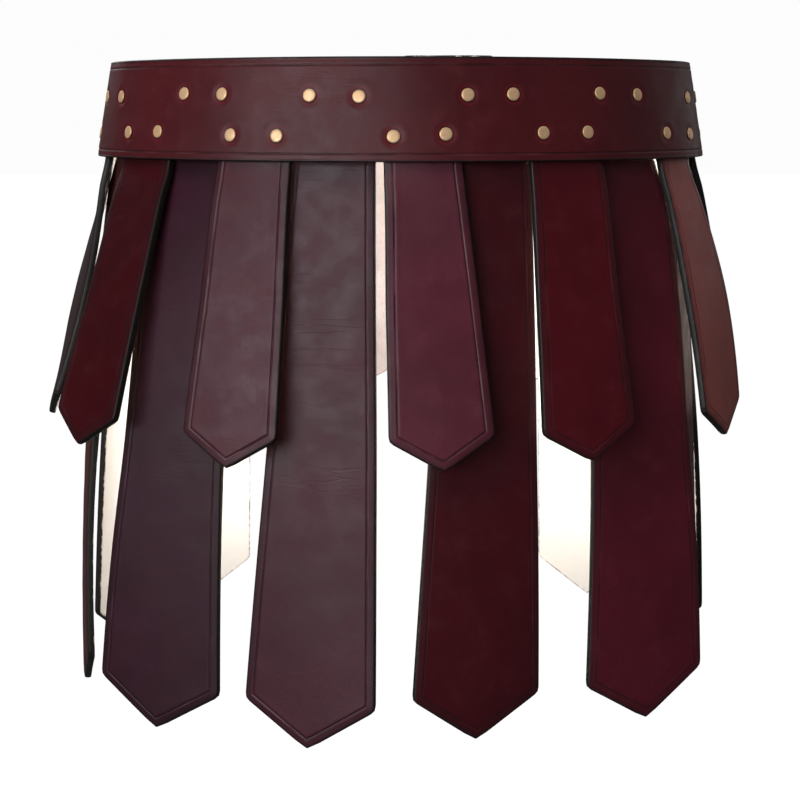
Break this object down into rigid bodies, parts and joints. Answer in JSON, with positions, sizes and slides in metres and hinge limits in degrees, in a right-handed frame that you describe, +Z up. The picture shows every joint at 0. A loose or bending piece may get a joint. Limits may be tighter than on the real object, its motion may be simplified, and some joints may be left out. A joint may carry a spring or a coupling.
{
  "type": "gladiator belt skirt",
  "caption": "Flared leather belt hung with overlapping rows of pointed leather straps, riveted in pairs, and closed at the back by narrow buckled straps.",
  "frame": {"origin": "centre of the waist opening, at half the belt's height", "axes": "+Z up along the wearer's body, front faces -Y, +X is at the right as seen from the front"},
  "size_m": [0.4877, 0.3986, 0.4399],
  "materials": {
    "belt_leather": "vegetable-tanned leather dyed dark oxblood, satin, black burnished edges",
    "short_strap_leather": "oxblood leather, satin grain side, cream flesh side, black burnished edges",
    "long_strap_leather": "oxblood leather, satin grain side, cream flesh side, black burnished edges",
    "closure_leather": "oxblood leather, satin",
    "copper": "copper, flat polished heads, lightly worn",
    "buckle_steel": "plated wire buckle, satin"
  },
  "bodies": {
    "belt": {"belt": "belt_leather", "short_strap_roots": "short_strap_leather", "long_strap_roots": "long_strap_leather", "short_strap_rivets": "copper", "long_strap_rivets": "copper", "short_strap_burrs": "copper", "long_strap_burrs": "copper", "closure_guard": "belt_leather", "closure_rivets": "copper", "closure_burrs": "copper", "upper_chape": "closure_leather", "lower_chape": "closure_leather", "upper_buckle_frame": "buckle_steel", "lower_buckle_frame": "buckle_steel", "upper_keeper": "closure_leather", "lower_keeper": "closure_leather", "upper_billet": "closure_leather", "lower_billet": "closure_leather"},
    "short_strap_01": {"short_strap_01": "short_strap_leather"},
    "short_strap_02": {"short_strap_02": "short_strap_leather"},
    "short_strap_03": {"short_strap_03": "short_strap_leather"},
    "short_strap_04": {"short_strap_04": "short_strap_leather"},
    "short_strap_05": {"short_strap_05": "short_strap_leather"},
    "short_strap_06": {"short_strap_06": "short_strap_leather"},
    "short_strap_07": {"short_strap_07": "short_strap_leather"},
    "short_strap_08": {"short_strap_08": "short_strap_leather"},
    "short_strap_09": {"short_strap_09": "short_strap_leather"},
    "short_strap_10": {"short_strap_10": "short_strap_leather"},
    "short_strap_11": {"short_strap_11": "short_strap_leather"},
    "short_strap_12": {"short_strap_12": "short_strap_leather"},
    "long_strap_01": {"long_strap_01": "long_strap_leather"},
    "long_strap_02": {"long_strap_02": "long_strap_leather"},
    "long_strap_03": {"long_strap_03": "long_strap_leather"},
    "long_strap_04": {"long_strap_04": "long_strap_leather"},
    "long_strap_05": {"long_strap_05": "long_strap_leather"},
    "long_strap_06": {"long_strap_06": "long_strap_leather"},
    "long_strap_07": {"long_strap_07": "long_strap_leather"},
    "long_strap_08": {"long_strap_08": "long_strap_leather"},
    "long_strap_09": {"long_strap_09": "long_strap_leather"},
    "long_strap_10": {"long_strap_10": "long_strap_leather"},
    "long_strap_11": {"long_strap_11": "long_strap_leather"},
    "upper_roller": {"upper_roller": "buckle_steel"},
    "lower_roller": {"lower_roller": "buckle_steel"},
    "upper_prong": {"upper_prong": "buckle_steel"},
    "lower_prong": {"lower_prong": "buckle_steel"}
  },
  "joints": [
    {"name": "short_strap_01_bend", "type": "hinge", "parent": "belt", "child": "short_strap_01", "pos_m": [-0.01962, 0.15393, -0.03455], "axis": [0.9963, 0.0864, 0], "range_deg": [-3.5, 70], "stiffness_Nm_per_rad": 0.4, "springref_deg": 1.29},
    {"name": "long_strap_01_bend", "type": "hinge", "parent": "belt", "child": "long_strap_01", "pos_m": [-0.06205, 0.13781, -0.03455], "axis": [0.9591, 0.2832, 0], "range_deg": [-5.5, 3.5], "stiffness_Nm_per_rad": 0.5, "springref_deg": 3.26},
    {"name": "short_strap_02_bend", "type": "hinge", "parent": "belt", "child": "short_strap_02", "pos_m": [-0.10283, 0.13017, -0.03455], "axis": [0.8916, 0.4528, 0], "range_deg": [-3.5, 70], "stiffness_Nm_per_rad": 0.4, "springref_deg": 1.29},
    {"name": "long_strap_02_bend", "type": "hinge", "parent": "belt", "child": "long_strap_02", "pos_m": [-0.13538, 0.09995, -0.03455], "axis": [0.7862, 0.6179, 0], "range_deg": [-5.5, 3.5], "stiffness_Nm_per_rad": 0.5, "springref_deg": 3.26},
    {"name": "short_strap_03_bend", "type": "hinge", "parent": "belt", "child": "short_strap_03", "pos_m": [-0.17177, 0.07623, -0.03455], "axis": [0.6541, 0.7564, 0], "range_deg": [-4.5, 70], "stiffness_Nm_per_rad": 0.4, "springref_deg": 1.4},
    {"name": "long_strap_03_bend", "type": "hinge", "parent": "belt", "child": "long_strap_03", "pos_m": [-0.1858, 0.03566, -0.03455], "axis": [0.3669, 0.9303, 0], "range_deg": [-5.5, 5], "stiffness_Nm_per_rad": 0.5, "springref_deg": 2.85},
    {"name": "short_strap_04_bend", "type": "hinge", "parent": "belt", "child": "short_strap_04", "pos_m": [-0.20231, -0.00379, -0.03455], "axis": [-0.0354, 0.9994, 0], "range_deg": [-4.5, 70], "stiffness_Nm_per_rad": 0.4, "springref_deg": 1.29},
    {"name": "long_strap_04_bend", "type": "hinge", "parent": "belt", "child": "long_strap_04", "pos_m": [-0.18224, -0.04363, -0.03455], "axis": [-0.449, 0.8935, 0], "range_deg": [-5.5, 5], "stiffness_Nm_per_rad": 0.5, "springref_deg": 2.85},
    {"name": "short_strap_05_bend", "type": "hinge", "parent": "belt", "child": "short_strap_05", "pos_m": [-0.16329, -0.0855, -0.03455], "axis": [-0.6949, 0.7191, 0], "range_deg": [-6, 70], "stiffness_Nm_per_rad": 0.4, "springref_deg": 1.82},
    {"name": "long_strap_05_bend", "type": "hinge", "parent": "belt", "child": "long_strap_05", "pos_m": [-0.11835, -0.11207, -0.03455], "axis": [-0.8415, 0.5402, 0], "range_deg": [-11, 2], "stiffness_Nm_per_rad": 0.5, "springref_deg": 4.07},
    {"name": "short_strap_06_bend", "type": "hinge", "parent": "belt", "child": "short_strap_06", "pos_m": [-0.08729, -0.13733, -0.03455], "axis": [-0.9232, 0.3844, 0], "range_deg": [-2, 70], "stiffness_Nm_per_rad": 0.4, "springref_deg": 1.35},
    {"name": "long_strap_06_bend", "type": "hinge", "parent": "belt", "child": "long_strap_06", "pos_m": [-0.03742, -0.14356, -0.03455], "axis": [-0.9853, 0.1708, 0], "range_deg": [-11, 3.5], "stiffness_Nm_per_rad": 0.5, "springref_deg": 3.46},
    {"name": "short_strap_07_bend", "type": "hinge", "parent": "belt", "child": "short_strap_07", "pos_m": [0.01467, -0.15431, -0.03455], "axis": [-0.9979, -0.0646, 0], "range_deg": [-4, 70], "stiffness_Nm_per_rad": 0.4, "springref_deg": 1.03},
    {"name": "long_strap_07_bend", "type": "hinge", "parent": "belt", "child": "long_strap_07", "pos_m": [0.0546, -0.13987, -0.03455], "axis": [-0.9684, -0.2492, 0], "range_deg": [-14, 3.5], "stiffness_Nm_per_rad": 0.5, "springref_deg": 1.84},
    {"name": "short_strap_08_bend", "type": "hinge", "parent": "belt", "child": "short_strap_08", "pos_m": [0.10336, -0.12989, -0.03455], "axis": [-0.8904, -0.4552, 0], "range_deg": [-0.5, 70], "stiffness_Nm_per_rad": 0.4, "springref_deg": 0.87},
    {"name": "long_strap_08_bend", "type": "hinge", "parent": "belt", "child": "long_strap_08", "pos_m": [0.13506, -0.1002, -0.03455], "axis": [-0.7874, -0.6165, 0], "range_deg": [-11, 0.5], "stiffness_Nm_per_rad": 0.5, "springref_deg": 2.85},
    {"name": "short_strap_09_bend", "type": "hinge", "parent": "belt", "child": "short_strap_09", "pos_m": [0.18136, -0.06369, -0.03455], "axis": [-0.5953, -0.8035, 0], "range_deg": [-4, 70], "stiffness_Nm_per_rad": 0.4, "springref_deg": 1.24},
    {"name": "long_strap_09_bend", "type": "hinge", "parent": "belt", "child": "long_strap_09", "pos_m": [0.18815, -0.02901, -0.03455], "axis": [-0.2985, -0.9544, 0], "range_deg": [-11, 7], "stiffness_Nm_per_rad": 0.5, "springref_deg": 1.43},
    {"name": "short_strap_10_bend", "type": "hinge", "parent": "belt", "child": "short_strap_10", "pos_m": [0.20176, 0.01153, -0.03455], "axis": [0.1078, -0.9942, 0], "range_deg": [-4.5, 70], "stiffness_Nm_per_rad": 0.4, "springref_deg": 1.29},
    {"name": "long_strap_10_bend", "type": "hinge", "parent": "belt", "child": "long_strap_10", "pos_m": [0.17978, 0.04821, -0.03455], "axis": [0.4961, -0.8683, 0], "range_deg": [-5.5, 4.5], "stiffness_Nm_per_rad": 0.5, "springref_deg": 2.85},
    {"name": "short_strap_11_bend", "type": "hinge", "parent": "belt", "child": "short_strap_11", "pos_m": [0.16217, 0.08666, -0.03455], "axis": [0.7, -0.7141, 0], "range_deg": [-3.5, 70], "stiffness_Nm_per_rad": 0.4, "springref_deg": 1.29},
    {"name": "long_strap_11_bend", "type": "hinge", "parent": "belt", "child": "long_strap_11", "pos_m": [0.12517, 0.1075, -0.03455], "axis": [0.8207, -0.5713, 0], "range_deg": [-5.5, 3.5], "stiffness_Nm_per_rad": 0.5, "springref_deg": 3.26},
    {"name": "short_strap_12_bend", "type": "hinge", "parent": "belt", "child": "short_strap_12", "pos_m": [0.09232, 0.13517, -0.03455], "axis": [0.9136, -0.4065, 0], "range_deg": [-3.5, 70], "stiffness_Nm_per_rad": 0.4, "springref_deg": 1.29},
    {"name": "upper_roller_turn", "type": "hinge", "parent": "belt", "child": "upper_roller", "pos_m": [0.03044, 0.15973, 0.01615], "axis": [-0.028, -0.1662, 0.9857], "continuous": true},
    {"name": "upper_prong_lift", "type": "hinge", "parent": "belt", "child": "upper_prong", "pos_m": [0.04683, 0.15468, 0.01576], "axis": [0.028, 0.1662, -0.9857], "range_deg": [0, 12]},
    {"name": "lower_roller_turn", "type": "hinge", "parent": "belt", "child": "lower_roller", "pos_m": [0.03129, 0.16479, -0.01385], "axis": [-0.028, -0.1662, 0.9857], "continuous": true},
    {"name": "lower_prong_lift", "type": "hinge", "parent": "belt", "child": "lower_prong", "pos_m": [0.04768, 0.15973, -0.01424], "axis": [0.028, 0.1662, -0.9857], "range_deg": [0, 12]}
  ]
}
